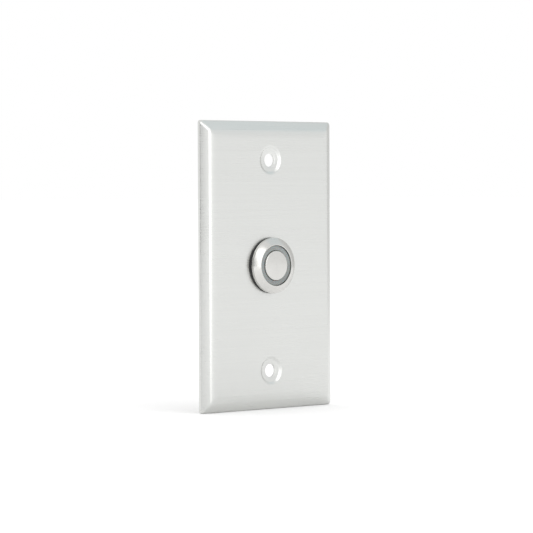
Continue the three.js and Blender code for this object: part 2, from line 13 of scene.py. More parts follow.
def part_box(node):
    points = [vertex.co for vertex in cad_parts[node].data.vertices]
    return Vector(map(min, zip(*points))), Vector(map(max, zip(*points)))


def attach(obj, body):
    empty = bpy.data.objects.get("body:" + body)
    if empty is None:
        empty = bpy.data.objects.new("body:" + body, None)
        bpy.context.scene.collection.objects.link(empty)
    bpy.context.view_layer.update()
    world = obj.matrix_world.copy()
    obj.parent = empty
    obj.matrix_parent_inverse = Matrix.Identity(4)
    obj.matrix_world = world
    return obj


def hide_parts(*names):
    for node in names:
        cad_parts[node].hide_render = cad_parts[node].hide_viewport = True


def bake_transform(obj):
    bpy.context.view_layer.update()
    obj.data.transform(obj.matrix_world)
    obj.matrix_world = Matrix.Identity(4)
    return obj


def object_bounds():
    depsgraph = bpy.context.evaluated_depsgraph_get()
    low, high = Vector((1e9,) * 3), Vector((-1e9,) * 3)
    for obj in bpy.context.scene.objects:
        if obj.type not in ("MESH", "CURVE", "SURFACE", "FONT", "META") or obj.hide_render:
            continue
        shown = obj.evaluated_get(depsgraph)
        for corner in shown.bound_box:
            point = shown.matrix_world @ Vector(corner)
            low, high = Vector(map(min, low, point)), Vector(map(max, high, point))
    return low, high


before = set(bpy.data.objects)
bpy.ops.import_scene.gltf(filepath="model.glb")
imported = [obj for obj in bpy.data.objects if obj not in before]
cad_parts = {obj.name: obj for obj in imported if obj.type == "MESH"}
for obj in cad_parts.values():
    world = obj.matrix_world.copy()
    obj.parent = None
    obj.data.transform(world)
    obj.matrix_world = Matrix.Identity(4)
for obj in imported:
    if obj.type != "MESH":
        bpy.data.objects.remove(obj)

bl_info = {
    "name": "Pedestrian Push Button",
    "version": (1, 0, 0),
    "blender": (4, 5, 0),
    "location": "View3D > Sidebar > Push Button",
    "description": "Models a wall-mounted pedestrian push button piece by piece",
    "category": "Object",
}

CAD_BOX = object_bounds()
MM = 0.001
MICRON = 0.000001

# Fineness of the meshes
MERGE = 1e-7
CAD_MERGE = MM / 1000
SMOOTH_ANGLE = radians(32)
SHARP_ANGLE = radians(25)
FLAT_ANGLE = radians(1)
FINE_STEPS = 192
ROUND_STEPS = 128
SMALL_STEPS = 48
FOLD_STEPS = 8
BEND_STEPS = 6
TOE_STEPS = 4
SPRING_CORNERS = 12
THREAD_CORNERS = 3
LOOSE_PITCH = 2.5

# Details that the settings leave alone
FRONT_BAND = MM / 2
DIMPLE_BAND = MM / 4
HOLE_BAND = MM
THREAD_SECTION = 0.7
NUT_CHAMFER = radians(30)
SEAL_FLAT = 0.05
RIB_FACETS = 48
FACING_OUT = 0.1
FACING_FRONT = -0.9
MENISCUS_SPREAD = 3
MENISCUS_STEP = 15
LENS_HEIGHT = 0.25 * MM
LENS_SCALE = 0.85
LENS_SHARE = 0.9
RESISTOR_CAP = 0.3 * MM

# Grain of the finishes, in cycles per metre along X, Y and Z
FINE_BRUSHING = (22, 420, 5200)
BROAD_BRUSHING = (9, 150, 900)
SMUDGES = (28, 28, 34)
FINE_TURNING = (9000, 5000, 1)
BROAD_TURNING = (1900, 1200, 1)
FLOOR_GRAIN = (900, 900, 900)
PATCHES = (120, 120, 120)
NOISE_LOW, NOISE_HIGH = 0.3, 0.7

# The studio. A card has a name, azimuth, elevation, distance, width, height and colour.
FLOOR_SIZE = 60.0
# Distances from the button over which the floor's painted shade fades to white
SHADE_FADE_START, SHADE_FADE_END = 0.06, 0.35
LAMP_PLACE = (-0.02, -0.8, 0.24)
LAMP_WIDTH, LAMP_HEIGHT = 0.42, 0.6
CARDS = (
    ("right_card", radians(100), radians(20), 0.75, 0.6, 0.8, (0.76, 0.76, 0.75)),
    ("top_card", radians(60), radians(42), 0.8, 0.6, 0.5, (0.86, 0.92, 0.94)),
    ("camera_card", radians(-38), radians(3), 0.85, 0.32, 0.4, (0.02, 0.02, 0.02)),
)

TERMINALS = [f"{kind}_terminal_{side}" for kind in ("nc", "no") for side in ("left", "right")]
TERMINALS += ["led_terminal_upper", "led_terminal_lower"]
FIXED_CONTACTS = [f"{kind}_contact_{side}" for kind in ("nc", "no") for side in ("left", "right")]
LEDS = [node for node in sorted(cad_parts) if node.startswith("led_") and node[-1].isdigit()]


def length(name, description, millimetres):
    """A length that the user can change, given in millimetres and held in metres."""
    return FloatProperty(name=name, description=description, default=millimetres * MM, min=0.0, unit="LENGTH",
                         precision=5)


def colour(name, description, red, green, blue):
    """A colour that the user can change."""
    return FloatVectorProperty(name=name, description=description, default=(red, green, blue), min=0.0,
                               max=1.0, size=3, subtype="COLOR")


def angle(name, description, degrees, least=0):
    """An angle that the user can change, given in degrees and held in radians."""
    return FloatProperty(name=name, description=description, default=radians(degrees), min=radians(least),
                         max=radians(80), subtype="ANGLE")


def count(name, description, default, fewest, most):
    """A number of like details that the user can change."""
    return IntProperty(name=name, description=description, default=default, min=fewest, max=most)


class PlateSettings(PropertyGroup):
    sheet: length("Sheet", "Thickness of the pressed sheet", 0.9)
    hole: length("Hole", "Radius of the hole for the switch", 9.6)
    rim: length("Rim", "Depth of the straight rim at the wall", 0.7)
    rim_radius: length("Rim Radius", "Outside radius where the rim turns into the bevel", 1.0)
    slope: angle("Slope", "Angle of the sloping border to the front", 31.9, least=5)
    fold_radius: length("Fold Radius", "Outside radius where the slope turns towards the front", 3.0)
    ease: angle("Ease", "Angle at which the fold eases into the flat front", 13.5)
    ease_radius: length("Ease Radius", "Outside radius of the fold's eased part", 14.0)
    corner_radius: length("Corner Radius", "Radius of the outline's corners", 1.2)
    screw_pitch: length("Screw Pitch", "Distance between the two screw holes", 83.3)
    screw_hole: length("Screw Hole", "Radius of a screw hole", 2.6)
    dimple: length("Dimple", "Radius where the dimple round a screw hole begins", 6.0)
    dimple_depth: length("Dimple Depth", "How far a dimple is pressed in", 0.75)
    dimple_edge: length("Dimple Edge", "Radius of the dimple's rounded edge and toe", 1.5)
    dimple_wall: angle("Dimple Wall", "Slope of the dimple's wall", 30)
    dimple_floor: angle("Dimple Floor", "Slope of the dimple round its hole", 4)
    edge: length("Edge", "Rounding of the sheet's cut edges", 0.1)


class HeadSettings(PropertyGroup):
    opening: length("Opening", "Radius of the opening round the button", 8.0)
    lip: length("Lip", "Width of the flat lip round the opening", 0.35)
    lip_depth: length("Lip Depth", "Depth of the lip before the bore widens", 1.2)
    bevel_height: length("Bevel Height", "Height of the head's conical bevel", 1.4)
    bore: length("Bore", "Radius of the barrel's bore", 8.3)
    root_radius: length("Thread Root", "Radius of the barrel under its thread", 8.85)
    crest_radius: length("Thread Crest", "Radius over the thread", 9.45)
    pitch: length("Thread Pitch", "Distance from one thread crest to the next", 1.0)
    edge: length("Edge", "Rounding of the head's edges", 0.09)


class FaceSettings(PropertyGroup):
    cap_edge: length("Cap Edge", "Rounding of the cap's edge", 0.3)
    cap_web: length("Cap Web", "Thickness of the cap", 1.0)
    cap_peg: length("Cap Peg", "Radius of the peg behind the cap", 2.0)
    fit: length("Fit", "Clearance round a snug fit", 0.05)
    ring_edge: length("Ring Edge", "Rounding of the light ring's edges", 0.3)
    ring_inner: length("Ring Inner Radius", "Inner radius of the light ring", 6.0)
    ring_outer: length("Ring Outer Radius", "Outer radius of the light ring", 7.85)
    ring_flange: length("Ring Flange", "Radius of the light ring's flange", 8.15)
    flange_thickness: length("Flange Thickness", "Thickness of the light ring's flange", 0.95)
    guide_outer: length("Guide Outer Radius", "Outer radius of the light guide", 7.0)
    guide_inner: length("Guide Inner Radius", "Inner radius of the light guide", 5.6)


class FasteningSettings(PropertyGroup):
    gasket_bore: length("Gasket Bore", "Inner radius of the gasket", 9.5)
    gasket_edge: length("Gasket Edge", "Rounding of the gasket's edges", 0.12)
    washer_bore: length("Washer Bore", "Inner radius of the washer", 9.6)
    tooth: length("Tooth", "How far the washer's teeth reach out", 1.0)
    tooth_twist: length("Tooth Twist", "How far a tooth's corners are bent out of the washer", 0.22)
    teeth: count("Teeth", "Number of teeth round the washer", 18, 6, 40)
    washer_sheet: length("Washer Sheet", "Thickness of the washer's sheet", 0.5)
    nut_bore: length("Nut Bore", "Radius of the nut's bore", 9.47)
    nut_edge: length("Nut Edge", "Rounding of the nut's edges", 0.08)
    countersink: length("Countersink", "Chamfer at the nut's bore", 0.5)


class RearSettings(PropertyGroup):
    moulded_edge: length("Moulded Edge", "Rounding of the switch body's edges", 0.15)
    rib: length("Grip Rib", "Depth of the grooves between the body's grip ribs", 0.22)
    blade_edge: length("Blade Edge", "Rounding of the stamped terminals' edges", 0.06)
    meniscus: length("Meniscus", "How far the resin climbs its wall", 0.3)
    spring_wire: length("Spring Wire", "Diameter of the return spring's wire", 0.5)
    spring_turns: count("Spring Turns", "Turns of the return spring", 6, 3, 12)
    contact_wire: length("Contact Spring Wire", "Diameter of the contact springs' wire", 0.3)
    contact_turns: count("Contact Spring Turns", "Turns of each contact spring", 4, 3, 8)


class FinishSettings(PropertyGroup):
    steel: colour("Steel", "Brushed stainless steel", 0.678, 0.684, 0.667)
    turned: colour("Turned Steel", "Faced stainless steel of the head and the cap", 0.635, 0.63, 0.61)
    ring: colour("Light Ring", "The unlit ring", 0.264, 0.264, 0.256)
    rubber: colour("Rubber", "Gasket and O-ring", 0.022, 0.022, 0.023)
    zinc: colour("Zinc", "Zinc plated washer", 0.58, 0.6, 0.62)
    nickel: colour("Nickel", "Nickel plated nut", 0.66, 0.64, 0.6)
    body: colour("Switch Body", "Black moulded plastic", 0.028, 0.028, 0.03)
    resin: colour("Resin", "Poured resin behind the switch", 0.012, 0.02, 0.028)
    brass: colour("Brass", "Terminals and bridge", 0.7, 0.53, 0.26)
    silver: colour("Silver", "Contact tips", 0.86, 0.85, 0.82)
    board: colour("Board", "Circuit board's solder mask", 0.03, 0.16, 0.07)
    acetal: colour("White Plastic", "Plunger, carrier and retainer", 0.78, 0.77, 0.73)
    wire: colour("Spring Wire", "Drawn spring wire", 0.6, 0.6, 0.61)
    led: colour("LED", "LED housing", 0.86, 0.84, 0.78)
    lens: colour("LED Lens", "Phosphor lens of an LED", 0.85, 0.7, 0.2)
    resistor: colour("Resistor", "Resistor's ceramic", 0.03, 0.03, 0.035)
    # The floor's colour near the button, darker than white: painted shade round the button
    floor: colour("Floor", "Studio floor", 0.945, 0.945, 0.945)


class StageSettings(PropertyGroup):
    camera_place: FloatVectorProperty(name="Camera Place", description="Where the camera stands",
                                      default=(-0.71024, -0.78581, 0.02843), size=3, subtype="TRANSLATION")
    camera_aim: FloatVectorProperty(name="Camera Aim", description="What the camera looks at",
                                    default=(0.000405, -0.000366, -0.000494), size=3, subtype="TRANSLATION")
    camera_roll: FloatProperty(name="Camera Roll", description="How far the camera leans",
                               default=radians(-0.252), subtype="ANGLE")
    lens: FloatProperty(name="Lens", description="Focal length in millimetres", default=180.3)
    world_light: FloatProperty(name="Surrounding Light", description="Strength of the white surroundings",
                               default=1.0)
    front_lamp: FloatProperty(name="Front Lamp", description="Brightness of the lamp in front", default=1.4)
    floor_light: FloatProperty(name="Floor Light", default=1.15,
                               description="Brightness of the surroundings as the floor gets it")


# Modelling by hand, one step at a time

def set_mode(mode):
    if bpy.context.mode != ("EDIT_MESH" if mode == "EDIT" else mode):
        bpy.ops.object.mode_set(mode=mode)


def deselect():
    set_mode("OBJECT")
    bpy.ops.object.select_all(action="DESELECT")


def start(name):
    """Names the primitive that was just added, puts its place in its mesh and opens it for editing."""
    piece = bpy.context.active_object
    piece.name = name
    piece.data.name = name
    bpy.ops.object.transform_apply(location=True, rotation=True, scale=True)
    set_mode("EDIT")
    bpy.ops.mesh.select_mode(type="VERT")
    return piece


def pick(kind, test):
    """Selects only the vertices, edges or faces whose place passes the test."""
    bpy.ops.mesh.select_mode(type=kind)
    bpy.ops.mesh.select_all(action="DESELECT")
    mesh = bpy.context.edit_object.data
    edited = bmesh.from_edit_mesh(mesh)
    for element in {"VERT": edited.verts, "EDGE": edited.edges, "FACE": edited.faces}[kind]:
        if test(element):
            element.select_set(True)
    edited.select_flush_mode()
    bmesh.update_edit_mesh(mesh)


def close_up():
    """Merges doubles and turns every face outwards."""
    bpy.ops.mesh.select_mode(type="VERT")
    bpy.ops.mesh.select_all(action="SELECT")
    bpy.ops.mesh.remove_doubles(threshold=MERGE)
    bpy.ops.mesh.normals_make_consistent(inside=False)


def work(piece, kind, **settings):
    """Adds a modifier and applies it."""
    set_mode("OBJECT")
    bpy.context.view_layer.objects.active = piece
    modifier = piece.modifiers.new(kind.title(), kind)
    for name, value in settings.items():
        setattr(modifier, name, value)
    bpy.ops.object.modifier_apply(modifier=modifier.name)
    return piece


def soften(piece, width, segments=3):
    """Rounds every sharp edge."""
    return work(piece, "BEVEL", width=width, segments=segments, limit_method="ANGLE", angle_limit=SHARP_ANGLE,
                use_clamp_overlap=True)


def finish_of(slot):
    """The finish of a slot, made when it is first asked for."""
    name = slot + "_finish"
    if name not in bpy.data.materials:
        FINISHES[slot](name, bpy.context.scene.button_finish)
    return bpy.data.materials[name]


def complete(piece, body, slot, *nodes):
    """Shades a finished piece, paints it, and lets it ride on its body in place of its nodes."""
    deselect()
    piece.select_set(True)
    bpy.context.view_layer.objects.active = piece
    bpy.ops.object.transform_apply(location=True, rotation=True, scale=True)
    bpy.ops.object.shade_smooth_by_angle(angle=SMOOTH_ANGLE)
    piece.data.materials.clear()
    piece.data.materials.append(finish_of(slot))
    if body:
        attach(piece, body)
    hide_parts(*nodes)
    return piece


def turned(name, outline, steps=ROUND_STEPS):
    """Draws an outline of (radius, y) points by extruding one point, and spins it round the Y axis.
    An outline that starts on the axis also ends there, and any other is closed by going back to its start."""
    deselect()
    bpy.ops.mesh.primitive_plane_add(size=MM)
    piece = start(name)
    bpy.ops.mesh.merge(type="CENTER")
    radius, y = outline[0]
    bpy.ops.transform.translate(value=(radius, y, 0))
    ends = outline[1:] if radius == 0 else outline[1:] + outline[:1]
    for next_radius, next_y in ends:
        step = (next_radius - radius, next_y - y, 0)
        bpy.ops.mesh.extrude_region_move(TRANSFORM_OT_translate={"value": step})
        radius, y = next_radius, next_y
    bpy.ops.mesh.select_all(action="SELECT")
    bpy.ops.mesh.remove_doubles(threshold=MERGE)
    bpy.ops.mesh.spin(steps=steps, angle=2 * pi, center=(0, 0, 0), axis=(0, 1, 0))
    close_up()
    set_mode("OBJECT")
    return piece


def coil(name, radius, corners, section, turns, start_y, end_y, dead_turns, run_out=None):
    """Winds a small section round the Y axis, closer together over the dead turns at both ends. It is wound
    loosely at first, so that no turn touches the next, and then drawn to its length. With a run-out
    radius, the section sinks to that radius over the first and last half turn."""
    deselect()
    bpy.ops.mesh.primitive_circle_add(vertices=corners, radius=section, fill_type="NOTHING",
                                      location=(radius, 0, 0), rotation=(0, 0, -pi / 2))
    piece = start(name)
    pitch = LOOSE_PITCH * section
    work(piece, "SCREW", axis="Y", angle=2 * pi, screw_offset=pitch, iterations=turns, steps=SMALL_STEPS,
         render_steps=SMALL_STEPS, use_merge_vertices=False, use_smooth_shade=True)
    set_mode("EDIT")
    pick("EDGE", lambda edge: len(edge.link_faces) == 1)
    bpy.ops.mesh.fill_holes(sides=corners)
    close_up()
    set_mode("OBJECT")
    span = end_y - start_y - 2 * section
    open_pitch = (span - 2 * dead_turns * 2 * section) / max(turns - 2 * dead_turns, 1)
    for vertex in piece.data.vertices:
        x, y, z = vertex.co
        angle = atan2(-z, x) / (2 * pi) % 1
        turn = round(y / pitch - angle) + angle
        if turn < 0 or turn > turns + 0.5:
            turn = min(max(turn, 0), turns)
        wound = min(turn, dead_turns) + max(turn - turns + dead_turns, 0)
        rise = wound * 2 * section + max(min(turn, turns - dead_turns) - dead_turns, 0) * open_pitch
        vertex.co.y = start_y + section + rise + y - turn * pitch
        left = min(turn, turns - turn) * 2
        if run_out is not None and left < 1:
            across = Vector((x, 0, z))
            sunk = across.normalized() * (run_out + (across.length - run_out) * left)
            vertex.co.x, vertex.co.z = sunk.x, sunk.z
    return piece


def refined(name, node, width):
    """Copies a CAD piece, merges its loose triangles, clears its flat faces and rounds its edges."""
    deselect()
    piece = bpy.data.objects.new(name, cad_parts[node].data.copy())
    bpy.context.scene.collection.objects.link(piece)
    piece.select_set(True)
    bpy.context.view_layer.objects.active = piece
    start(name)
    bpy.ops.mesh.select_all(action="SELECT")
    bpy.ops.mesh.remove_doubles(threshold=CAD_MERGE)
    bpy.ops.mesh.customdata_custom_splitnormals_clear()
    bpy.ops.mesh.dissolve_limited(angle_limit=FLAT_ANGLE, delimit=set())
    set_mode("OBJECT")
    return soften(piece, width, 2) if width else piece


# Finishes

def node(tree, kind, inputs=None, **settings):
    """A new shader node with its inputs and settings."""
    made = tree.nodes.new("ShaderNode" + kind)
    for name, value in settings.items():
        setattr(made, name, value)
    for name, value in (inputs or {}).items():
        made.inputs[name].default_value = value
    return made


def finish(name, colour, roughness, metallic=0.0, **sockets):
    """A new material, its tree and its shader, with the constant values set on the shader itself."""
    material = bpy.data.materials.new(name)
    material.use_nodes = True
    tree = material.node_tree
    shader = tree.nodes["Principled BSDF"]
    shader.inputs["Base Color"].default_value = (*colour, 1)
    shader.inputs["Roughness"].default_value = roughness
    shader.inputs["Metallic"].default_value = metallic
    for socket, value in sockets.items():
        shader.inputs[socket.replace("_", " ").title().replace("Ior", "IOR")].default_value = value
    return tree, shader


def stretched_noise(tree, cycles, detail=5.0, rough=0.6, place=None):
    """Noise with so many cycles per metre along X, Y and Z."""
    if place is None:
        place = node(tree, "TexCoord").outputs["Object"]
    mapping = node(tree, "Mapping", {"Scale": cycles})
    noise = node(tree, "TexNoise", {"Scale": 1.0, "Detail": detail, "Roughness": rough})
    tree.links.new(place, mapping.inputs["Vector"])
    tree.links.new(mapping.outputs["Vector"], noise.inputs["Vector"])
    return noise.outputs["Fac"]


def turned_place(tree):
    """Distance from the Y axis, depth and nothing else, so that noise on it runs in rings."""
    place = node(tree, "TexCoord").outputs["Object"]
    flat = node(tree, "VectorMath", operation="MULTIPLY")
    flat.inputs[1].default_value = (1, 0, 1)
    radius = node(tree, "VectorMath", operation="LENGTH")
    split = node(tree, "SeparateXYZ")
    ring = node(tree, "CombineXYZ")
    tree.links.new(place, flat.inputs[0])
    tree.links.new(flat.outputs["Vector"], radius.inputs[0])
    tree.links.new(place, split.inputs[0])
    tree.links.new(radius.outputs["Value"], ring.inputs["X"])
    tree.links.new(split.outputs["Y"], ring.inputs["Y"])
    return ring.outputs["Vector"]


def ranged(tree, value, low, high, start_at=NOISE_LOW, end_at=NOISE_HIGH):
    """Spreads a value over a range. It starts and ends where most of the noise does."""
    spread = node(tree, "MapRange", {"From Min": start_at, "From Max": end_at, "To Min": low, "To Max": high})
    tree.links.new(value, spread.inputs["Value"])
    return spread.outputs["Result"]


def tinted(tree, value, dark, light):
    """A colour between two, by a value from 0 to 1."""
    mix = node(tree, "Mix", data_type="RGBA")
    mix.inputs["A"].default_value = (*dark, 1)
    mix.inputs["B"].default_value = (*light, 1)
    for socket in mix.inputs:
        if socket.name == "Factor" and socket.type == "VALUE":
            tree.links.new(value, socket)
    return next(socket for socket in mix.outputs if socket.type == "RGBA")


def shade_of(colour, factor):
    return tuple(min(1.0, channel * factor) for channel in colour)


def added(tree, first, second):
    total = node(tree, "Math", operation="ADD")
    tree.links.new(first, total.inputs[0])
    tree.links.new(second, total.inputs[1])
    return total.outputs["Value"]


def roughen(tree, shader, height, strength, depth):
    """Bump of a depth in microns."""
    bump = node(tree, "Bump", {"Strength": strength, "Distance": depth * MICRON})
    tree.links.new(height, bump.inputs["Height"])
    tree.links.new(bump.outputs["Normal"], shader.inputs["Normal"])


def set_grain(tree, shader, axis):
    """Grooves that run square to an axis and round it, with their highlight drawn out across them."""
    tangent = node(tree, "Tangent", direction_type="RADIAL", axis=axis)
    tree.links.new(tangent.outputs["Tangent"], shader.inputs["Tangent"])


def brushed_plate_finish(name, colours):
    """Steel brushed across the plate, with long fine lines and faint broader streaks."""
    steel = tuple(colours.steel)
    tree, shader = finish(name, steel, 0.3, 1.0, anisotropic=0.6, anisotropic_rotation=0.25)
    fine = stretched_noise(tree, FINE_BRUSHING, detail=4.0, rough=0.65)
    broad = stretched_noise(tree, BROAD_BRUSHING, detail=6.0, rough=0.7)
    smudge = stretched_noise(tree, SMUDGES, detail=3.0, rough=0.5)
    lines = added(tree, ranged(tree, fine, 0.0, 0.6), ranged(tree, broad, 0.0, 0.4))
    streaked = tinted(tree, lines, shade_of(steel, 0.97), shade_of(steel, 1.03))
    tree.links.new(streaked, shader.inputs["Base Color"])
    uneven = added(tree, ranged(tree, fine, 0.25, 0.33), ranged(tree, smudge, -0.01, 0.03))
    tree.links.new(uneven, shader.inputs["Roughness"])
    roughen(tree, shader, lines, strength=0.25, depth=10)
    set_grain(tree, shader, "Z")


def turned_steel_finish(name, colours):
    """Steel faced on a lathe, with fine rings."""
    steel = tuple(colours.turned)
    tree, shader = finish(name, steel, 0.22, 1.0, anisotropic=0.75, anisotropic_rotation=0.25)
    place = turned_place(tree)
    fine = stretched_noise(tree, FINE_TURNING, detail=3.0, rough=0.6, place=place)
    broad = stretched_noise(tree, BROAD_TURNING, detail=4.0, rough=0.6, place=place)
    lines = added(tree, ranged(tree, fine, 0.0, 0.5), ranged(tree, broad, 0.0, 0.5))
    ringed = tinted(tree, lines, shade_of(steel, 0.95), shade_of(steel, 1.04))
    tree.links.new(ringed, shader.inputs["Base Color"])
    tree.links.new(ranged(tree, broad, 0.18, 0.27), shader.inputs["Roughness"])
    roughen(tree, shader, lines, strength=0.35, depth=10)
    set_grain(tree, shader, "Y")


def metal_finish(colour_name, roughness, cycles, depth):
    """A plated or stamped metal with a slight mottle."""
    def make(name, colours):
        colour = tuple(getattr(colours, colour_name))
        tree, shader = finish(name, colour, roughness, 1.0)
        mottle = stretched_noise(tree, (cycles,) * 3)
        spread = ranged(tree, mottle, 0.0, 1.0)
        mottled = tinted(tree, spread, shade_of(colour, 0.86), shade_of(colour, 1.06))
        tree.links.new(mottled, shader.inputs["Base Color"])
        glossy, dull = roughness - 0.07, roughness + 0.09
        tree.links.new(ranged(tree, mottle, glossy, dull), shader.inputs["Roughness"])
        roughen(tree, shader, mottle, strength=0.3, depth=depth)
    return make


def moulded_finish(colour_name, roughness, cycles, depth, **sockets):
    """A moulded plastic, rubber or resin with a fine texture and a little uneven gloss."""
    def make(name, colours):
        colour = tuple(getattr(colours, colour_name))
        tree, shader = finish(name, colour, roughness, 0.0, **sockets)
        skin = stretched_noise(tree, (cycles,) * 3, detail=4.0)
        patches = stretched_noise(tree, PATCHES, detail=3.0, rough=0.5)
        spread = ranged(tree, patches, 0.0, 1.0)
        patched = tinted(tree, spread, shade_of(colour, 0.85), shade_of(colour, 1.12))
        tree.links.new(patched, shader.inputs["Base Color"])
        glossy, dull = roughness - 0.06, roughness + 0.06
        tree.links.new(ranged(tree, patches, glossy, dull), shader.inputs["Roughness"])
        roughen(tree, shader, skin, strength=0.4, depth=depth)
    return make


def floor_finish(name, colours):
    """A pale seamless floor, a little darker round the button as painted shade there, that turns as bright as
    its surroundings a little way from the button.
    """
    shaded_floor_colour = tuple(colours.floor)
    tree, shader = finish(name, shaded_floor_colour, 0.9, specular_ior_level=0.0)
    place = node(tree, "TexCoord").outputs["Object"]
    away = node(tree, "VectorMath", operation="LENGTH")
    tree.links.new(place, away.inputs[0])
    # Painted shade: the floor is darker near the button and turns white further out
    fade = ranged(tree, away.outputs["Value"], 0.0, 1.0, SHADE_FADE_START, SHADE_FADE_END)
    tree.links.new(tinted(tree, fade, shaded_floor_colour, (1, 1, 1)), shader.inputs["Base Color"])
    grain = stretched_noise(tree, FLOOR_GRAIN, detail=2.0, rough=0.5)
    roughen(tree, shader, grain, strength=0.05, depth=10)


# A metal or moulded finish has a colour, a roughness, and a grain of so many cycles per metre, microns deep
FINISHES = {
    "brushed_plate": brushed_plate_finish,
    "turned_steel": turned_steel_finish,
    "black_rubber": moulded_finish("rubber", 0.62, 5000, 10),
    "zinc_steel": metal_finish("zinc", 0.36, 700, 10),
    "nickel_plate": metal_finish("nickel", 0.26, 500, 8),
    "black_plastic": moulded_finish("body", 0.45, 2600, 12),
    "resin": moulded_finish("resin", 0.14, 300, 30, coat_weight=0.4, coat_roughness=0.06),
    "terminal_brass": metal_finish("brass", 0.3, 900, 8),
    "contact_silver": metal_finish("silver", 0.2, 1200, 5),
    "board_laminate": moulded_finish("board", 0.4, 1500, 10),
    "led_body": moulded_finish("led", 0.3, 2000, 5),
    "led_lens": moulded_finish("lens", 0.2, 1500, 5, coat_weight=0.5),
    "resistor_body": moulded_finish("resistor", 0.35, 2500, 8),
    "translucent_ring": moulded_finish("ring", 0.34, 3200, 6, subsurface_weight=0.15, ior=1.49),
    "white_plastic": moulded_finish("acetal", 0.38, 2200, 8),
    "spring_wire": metal_finish("wire", 0.28, 2600, 4),
    "studio_floor": floor_finish,
}


# Pieces

def arc(centre, radius, first, last, segments):
    """Points (centre_a - radius sin, centre_b + radius cos) from one angle to another."""
    angles = [first + (last - first) * step / segments for step in range(segments + 1)]
    return [(centre[0] - radius * sin(angle), centre[1] + radius * cos(angle)) for angle in angles]


def border_rings(plate, depth):
    """The plate's border as (inset from the outline, height over the wall), from the wall to the front."""
    slope, ease = plate.slope, plate.ease
    rim_start = plate.rim - plate.rim_radius * tan((pi / 2 - slope) / 2)
    rim = arc((plate.rim_radius, rim_start), plate.rim_radius, pi / 2, slope, BEND_STEPS)
    wider = plate.ease_radius - plate.fold_radius
    fold_height = depth - plate.ease_radius + wider * cos(ease)
    slope_end = fold_height + plate.fold_radius * cos(slope)
    run = (slope_end - rim[-1][1]) / tan(slope)
    fold_inset = rim[-1][0] + run + plate.fold_radius * sin(slope)
    front_inset = fold_inset + wider * sin(ease)
    return [
        *rim,
        *arc((fold_inset, fold_height), plate.fold_radius, slope, ease, FOLD_STEPS),
        *arc((front_inset, depth - plate.ease_radius), plate.ease_radius, ease, 0, FOLD_STEPS)[1:],
    ]


def dimple_rings(plate):
    """A dimple as (radius, height over the front): a rounded edge, a wall, a toe and a flatter floor."""
    wall, floor, edge = plate.dimple_wall, plate.dimple_floor, plate.dimple_edge
    shoulder = arc((plate.dimple, -edge), edge, 0, wall, BEND_STEPS)
    wall_radius, wall_height = shoulder[-1]
    toe_width = edge * (sin(wall) - sin(floor))
    toe_depth = edge * (cos(floor) - cos(wall))
    floor_depth = (wall_radius - toe_width - plate.screw_hole) * tan(floor)
    fall = plate.dimple_depth + wall_height - toe_depth - floor_depth
    wall_width = fall / (tan(wall) - tan(floor))
    toe_radius = wall_radius - wall_width
    toe_height = wall_height - wall_width * tan(wall)
    toe_centre = (toe_radius - edge * sin(wall), toe_height + edge * cos(wall))
    toe = arc(toe_centre, -edge, wall, floor, TOE_STEPS)
    return [*shoulder, *toe, (plate.screw_hole, -plate.dimple_depth)]


def draw_in(radius, next_radius, step_y, centre):
    """Extrudes the selected ring of edges along Y and scales it to its next radius."""
    bpy.ops.mesh.extrude_edges_move(TRANSFORM_OT_translate={"value": (0, step_y, 0)})
    scale = next_radius / radius
    bpy.ops.transform.resize(value=(scale, 1, scale), center_override=centre)


def model_plate(plate):
    """Draws the plate's skin from its outline inwards, fills the front round the holes, sinks the dimples
    and gives the skin the sheet's thickness."""
    low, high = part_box("wall_plate")
    half_width, half_height, depth = high.x, high.z, high.y - low.y
    deselect()
    bpy.ops.mesh.primitive_plane_add(size=1, location=(0, high.y, 0), rotation=(pi / 2, 0, 0))
    piece = start("pressed_plate")
    bpy.ops.transform.resize(value=(2 * half_width, 1, 2 * half_height))
    bpy.ops.mesh.bevel(offset=plate.corner_radius, segments=FOLD_STEPS, affect="VERTICES")
    bpy.ops.mesh.delete(type="ONLY_FACE")
    bpy.ops.mesh.select_all(action="SELECT")
    inset = height = 0.0
    rings = border_rings(plate, depth)
    for next_inset, next_height in [*rings, (rings[-1][0] + FRONT_BAND, depth)]:
        bpy.ops.mesh.extrude_edges_move(TRANSFORM_OT_translate={"value": (0, height - next_height, 0)})
        across = (half_width - next_inset) / (half_width - inset)
        upwards = (half_height - next_inset) / (half_height - inset)
        bpy.ops.transform.resize(value=(across, 1, upwards), center_override=(0, 0, 0))
        inset, height = next_inset, next_height
    around = plate.dimple + DIMPLE_BAND
    dimple_places = (-plate.screw_pitch / 2, plate.screw_pitch / 2)
    flat_ring = plate.hole + HOLE_BAND
    circles = [(0, flat_ring, FINE_STEPS)] + [(z, around, ROUND_STEPS) for z in dimple_places]
    for z, radius, count in circles:
        bpy.ops.mesh.primitive_circle_add(vertices=count, radius=radius, location=(0, low.y, z),
                                          rotation=(pi / 2, 0, 0))
    pick("EDGE", lambda edge: edge.is_wire or edge.is_boundary and edge.verts[0].co.y < low.y + MERGE)
    bpy.ops.mesh.fill(use_beauty=True)
    pick("EDGE", lambda edge: edge.is_boundary and edge.verts[0].co.length < 2 * plate.hole)
    draw_in(flat_ring, plate.hole, 0, (0, low.y, 0))
    for z in dimple_places:
        centre = Vector((0, low.y, z))
        pick("EDGE", lambda edge: edge.is_boundary and (edge.verts[0].co - centre).length < 2 * plate.dimple)
        radius, height = around, 0.0
        for next_radius, next_height in dimple_rings(plate):
            draw_in(radius, next_radius, height - next_height, centre)
            radius, height = next_radius, next_height
    close_up()
    set_mode("OBJECT")
    if min(piece.data.polygons, key=lambda face: face.center.y).normal.y > 0:
        piece.data.flip_normals()
    work(piece, "SOLIDIFY", thickness=plate.sheet, offset=-1, use_even_offset=True,
         use_quality_normals=True)
    return soften(piece, plate.edge, 2)


def join(piece, *others):
    deselect()
    for other in (*others, piece):
        other.select_set(True)
    bpy.context.view_layer.objects.active = piece
    bpy.ops.object.join()
    return piece


